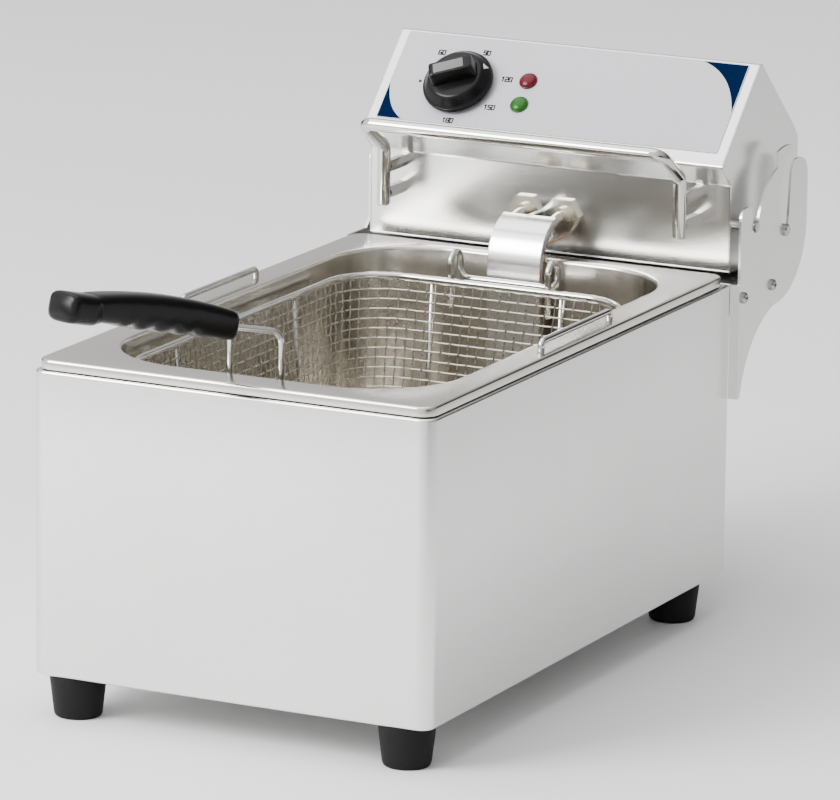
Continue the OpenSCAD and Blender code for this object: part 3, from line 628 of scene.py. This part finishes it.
for nm, v, mt in (("red", 32.7, "red_lens"), ("green", 51.2, "green_lens")):
    prof = [(5.6, 0.5), (6.0, 0.7), (6.0, 1.5), (5.75, 1.75), (5.5, 1.8)]
    prof += [(5.5 * math.cos(math.radians(a)), 1.8 + 2.2 * math.sin(math.radians(a))) for a in range(6, 90, 7)] + [(0.05, 4.0)]
    piece("lens_" + nm, revolve(prof, panel(-25, v), 48), M[mt], "head", [nm + "_lamp"], 40)


def knob():
    sk = revolve([(3.1, 3.2), (23.0, 3.2), (23.5, 3.7), (23.5, 5.2), (23.2, 5.8), (22.4, 6.2), (21.2, 7.6), (18.4, 11.2), (17.4, 12.1), (16.0, 12.4), (3.1, 12.4)], panel(KX, KV), 72)
    m = panel(KX, KV) @ Matrix.Rotation(math.radians(23), 4, "Z")
    rings = []
    for z, hx_, hy_, r_ in ((11.5, 15.6, 6.4, 2.4), (13.5, 15.0, 5.9, 2.2), (21, 14.5, 5.5, 2.0), (22.4, 14.1, 5.1, 1.8), (23.0, 13.2, 4.3, 1.4)):
        rings.append([(x_, y_, z) for x_, y_ in rrect(-hx_, hx_, -hy_, hy_, r_, 5)])
    ring2 = [(x_, y_, 23.0) for x_, y_ in rrect(-11.1, 9.1, -3.6, 3.6, 0.6, 5)]
    ring3 = [(x_, y_, 22.1) for x_, y_ in rrect(-11.1, 9.1, -3.6, 3.6, 0.6, 5)]
    bar = place(loft(rings + [ring2, ring3], cap0=True, cap1=True), m)
    return join(sk, bar), m


kv, km = knob()
piece("knob_moulding", kv, M["black_plastic"], "knob", ["thermostat_knob"], 35)
inl = loft([[(x_, y_, z_) for x_, y_ in rrect(-11 + e, 9 - e, -3.5 + e, 3.5 - e, 0.6, 5)] for z_, e in ((22.1, 0), (22.95, 0), (23.2, 0.4))], cap0=True, cap1=True)
piece("knob_pointer_inlay", place(inl, km), M["inlay_grey"], "knob", ["knob_inlay"], 35)
pm = km @ Matrix.Translation((20.1, 2.6, 8.7)) @ Matrix.Rotation(math.radians(52), 4, "Y")
piece("knob_pointer_mark", prism([(-1.9, -2.1), (2.2, 0), (-1.9, 2.1)], pm, 0.35, 0.03), M["print_white"], "knob", [], 30)

bar = fillet([(-103.5, 194.5, 243.5), (-103.5, 194.5, 281), (-103.5, 164.6, 300.5), (103.5, 164.6, 300.5), (103.5, 194.5, 281), (103.5, 194.5, 243.5)], 7, 10)
piece("bar_rod", tube(bar, 4.25, 24), M["chrome_wire"], "head", ["lifting_bar"], 60)

# ---------------------------------------------------------------- element and hood
HZ = 246.5
HA = 103.5
hood2 = []
for k in range(15):
    a = math.radians(HA + (180 - HA) * k / 14)
    hood2.append((206 + 30 * math.cos(a), HZ - 30 + 30 * math.sin(a)))
hood2 += [(176, 122), (177, 122)]
for k in range(15):
    a = math.radians(180 - (180 - HA) * k / 14)
    hood2.append((206 + 29 * math.cos(a), HZ - 30 + 29 * math.sin(a)))
bend = prism(hood2, yz(-20.3), 36.6, 0.2)
tong = prism([(197.5, HZ - 1.8), (221.4, HZ - 1.8), (221.4, HZ - 0.8), (197.5, HZ - 0.8)], yz(-3.7), 3.4, 0.15)
piece("hood_sheet", join(bend, tong), M["hood_steel"], "head", ["element_hood"], 30)

EZ, LZ, LX = 90, 243, 13.6
els = []
for s in (-1, 1):
    top_ = [Vector((LX, 243, LZ))] + [Vector((LX, 214 - 32 * math.sin(math.radians(a_)), LZ - 32 + 32 * math.cos(math.radians(a_)))) for a_ in range(0, 91, 9)]
    p = [(LX, 182, LZ - 32), (LX, 182, EZ), (75, 182, EZ), (75, -135, EZ), (25, -135, EZ), (25, 135, EZ), (0, 135, EZ)]
    els.append(tube([(-2 + s * q.x, q.y, q.z) for q in top_ + fillet(p, 20, 8)[1:]], 3.5, 16))
piece("element_rod", join(*els), M["element_tube"], "head", ["heating_element"], 60)

# pin heads, screws and brackets stay as they are in the frame
# ---------------------------------------------------------------- staging
floor = loft([[(-9000, -9000, 0), (9000, -9000, 0)], [(-9000, 9000, 0), (9000, 9000, 0)]], closed=False)
fm, nt, b = base_mat("floor")
b.inputs["Base Color"].default_value = (0.78, 0.78, 0.78, 1)
b.inputs["Roughness"].default_value = 0.6
b.inputs["Emission Color"].default_value = (1, 1, 1, 1)
b.inputs["Emission Strength"].default_value = 0.0
piece("floor", floor, fm, stage=True)

w = bpy.context.scene.world or bpy.data.worlds.new("studio")
bpy.context.scene.world = w
w.use_nodes = True
wn = w.node_tree
for x in list(wn.nodes):
    wn.nodes.remove(x)
out = wn.nodes.new("ShaderNodeOutputWorld")
bg = wn.nodes.new("ShaderNodeBackground")
tc = wn.nodes.new("ShaderNodeTexCoord")
dp = wn.nodes.new("ShaderNodeVectorMath")
dp.operation = "DOT_PRODUCT"
wn.links.new(tc.outputs["Generated"], dp.inputs[0])
dp.inputs[1].default_value = (-0.62, -0.62, 0.48)
mr = wn.nodes.new("ShaderNodeMapRange")
mr.inputs["From Min"].default_value = -1.0
mr.inputs["From Max"].default_value = 1.0
wn.links.new(dp.outputs["Value"], mr.inputs["Value"])
cr = wn.nodes.new("ShaderNodeValToRGB")
wn.links.new(mr.outputs["Result"], cr.inputs["Fac"])
cr.color_ramp.elements[0].position = 0.15
cr.color_ramp.elements[0].color = (0.16, 0.16, 0.16, 1)
cr.color_ramp.elements[1].position = 0.85
cr.color_ramp.elements[1].color = (1.0, 1.0, 1.0, 1)
last = cr.outputs["Color"]
for d_, depth in (((0.896, -0.443, 0.0), 0.03), ((-0.896, 0.443, 0.0), 0.05), ((0.44, 0.90, 0.0), 0.35)):
    q = wn.nodes.new("ShaderNodeVectorMath")
    q.operation = "DOT_PRODUCT"
    wn.links.new(tc.outputs["Generated"], q.inputs[0])
    q.inputs[1].default_value = d_
    g = wn.nodes.new("ShaderNodeMapRange")
    g.interpolation_type = "SMOOTHSTEP"
    g.inputs["From Min"].default_value = 0.90 if depth < 0.1 else 0.75
    g.inputs["From Max"].default_value = 0.97
    g.inputs["To Min"].default_value = 1.0
    g.inputs["To Max"].default_value = depth
    wn.links.new(q.outputs["Value"], g.inputs["Value"])
    m_ = wn.nodes.new("ShaderNodeMix")
    m_.data_type = "RGBA"
    m_.blend_type = "MULTIPLY"
    m_.inputs[0].default_value = 1.0
    wn.links.new(last, m_.inputs[6])
    wn.links.new(g.outputs["Result"], m_.inputs[7])
    last = m_.outputs[2]
wn.links.new(last, bg.inputs["Color"])
bg.inputs["Strength"].default_value = 1.6
wn.links.new(bg.outputs["Background"], out.inputs["Surface"])


def area(name, loc, target, size_, power, shape="RECTANGLE", sy=None):
    ld = bpy.data.lights.new(name, "AREA")
    ld.shape = shape
    ld.size = size_
    ld.size_y = sy or size_
    ld.energy = power
    o = bpy.data.objects.new(name, ld)
    bpy.context.scene.collection.objects.link(o)
    o.location = loc
    o.rotation_euler = (Vector(target) - Vector(loc)).to_track_quat("-Z", "Y").to_euler()
    return o


area("key", (-1.5, -2.0, 1.8), (-0.4, -0.7, 0.1), 1.5, 150)
area("top", (-0.6, 0.0, 2.6), (-0.3, 0.0, 0.0), 2.6, 50)

az, el, roll = math.radians(26.341), math.radians(13.351), math.radians(0.733)
back = Vector((math.sin(az) * math.cos(el), -math.cos(az) * math.cos(el), math.sin(el)))
right = Vector((math.cos(az), math.sin(az), 0))
up = back.cross(right)
r2 = right * math.cos(roll) + up * math.sin(roll)
u2 = -right * math.sin(roll) + up * math.cos(roll)
cd = bpy.data.cameras.new("camera")
cd.sensor_fit = "HORIZONTAL"
cd.sensor_width = 36.0
cd.lens = 296.93
cd.clip_start = 0.05
cd.clip_end = 60
co = bpy.data.objects.new("camera", cd)
bpy.context.scene.collection.objects.link(co)
loc = Vector((27.102, -13.184, 172.453)) * MM + back * 4.20649
mat = Matrix((r2, u2, back)).transposed().to_4x4()
mat.translation = loc
co.matrix_world = mat
bpy.context.scene.camera = co
